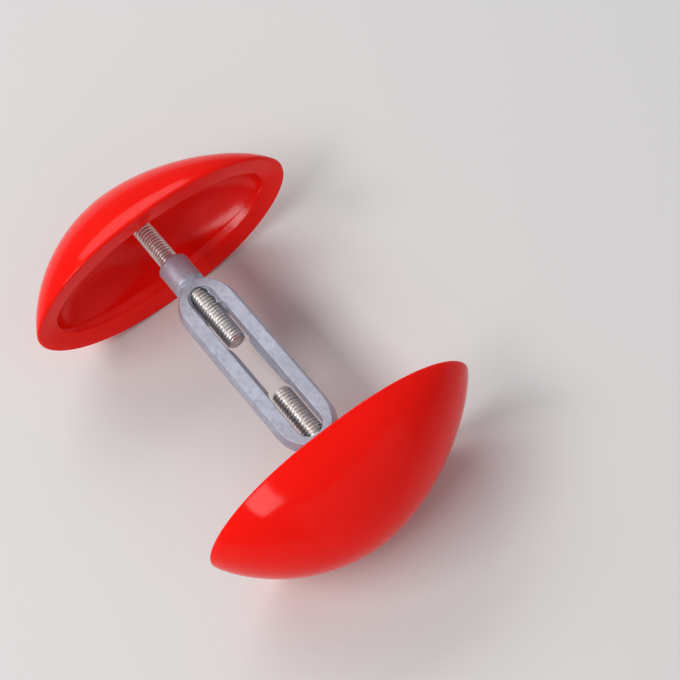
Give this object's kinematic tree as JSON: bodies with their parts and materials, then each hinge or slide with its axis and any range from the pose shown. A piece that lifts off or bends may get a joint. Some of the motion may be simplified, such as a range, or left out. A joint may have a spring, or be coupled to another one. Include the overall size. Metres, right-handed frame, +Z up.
{
  "type": "shoe stretcher",
  "caption": "Screw-driven shoe stretcher: hollow almond-shaped pads on threaded studs, pushed apart by an open turnbuckle with opposite threads.",
  "frame": {"origin": "middle of the whole stretcher as pictured, on the axis of both studs", "axes": "+X along the studs towards the pad on the left-hand stud, +Y along the pads towards their slimmer tips, +Z up, square to the turnbuckle's flat faces"},
  "size_m": [0.0854, 0.056, 0.031],
  "materials": {
    "cast_zinc": "zinc die casting, as cast, satin grey",
    "plated_steel": "rolled thread, bright nickel plating",
    "red_plastic": "injection moulded, glossy red"
  },
  "bodies": {
    "turnbuckle": {"turnbuckle_frame": "cast_zinc"},
    "right_hand_stud": {"right_hand_screw": "plated_steel"},
    "left_hand_stud": {"left_hand_screw": "plated_steel"},
    "left_pad": {"left_pad": "red_plastic"},
    "right_pad": {"right_pad": "red_plastic"}
  },
  "joints": [
    {"name": "right_hand_stud_travel", "type": "slide", "parent": "turnbuckle", "child": "right_hand_stud", "axis": [-1, 0, 0], "range_m": [-0.001, 0.012]},
    {"name": "left_hand_stud_travel", "type": "slide", "parent": "turnbuckle", "child": "left_hand_stud", "axis": [1, 0, 0], "range_m": [-0.001, 0.012]},
    {"name": "left_pad_turn", "type": "hinge", "parent": "right_hand_stud", "child": "left_pad", "pos_m": [-0.03, 0, 0], "axis": [-1, 0, 0], "range_deg": [-510, 6160]},
    {"name": "right_pad_turn", "type": "hinge", "parent": "left_hand_stud", "child": "right_pad", "pos_m": [0.03, 0, 0], "axis": [-1, 0, 0], "range_deg": [-510, 6160]}
  ],
  "couplings": [
    {"joint": "right_hand_stud_travel", "follows": "left_pad_turn", "m_per_rad": 0.00011141},
    {"joint": "left_hand_stud_travel", "follows": "left_pad_turn", "m_per_rad": 0.00011141},
    {"joint": "right_pad_turn", "follows": "left_pad_turn", "ratio": 1}
  ]
}
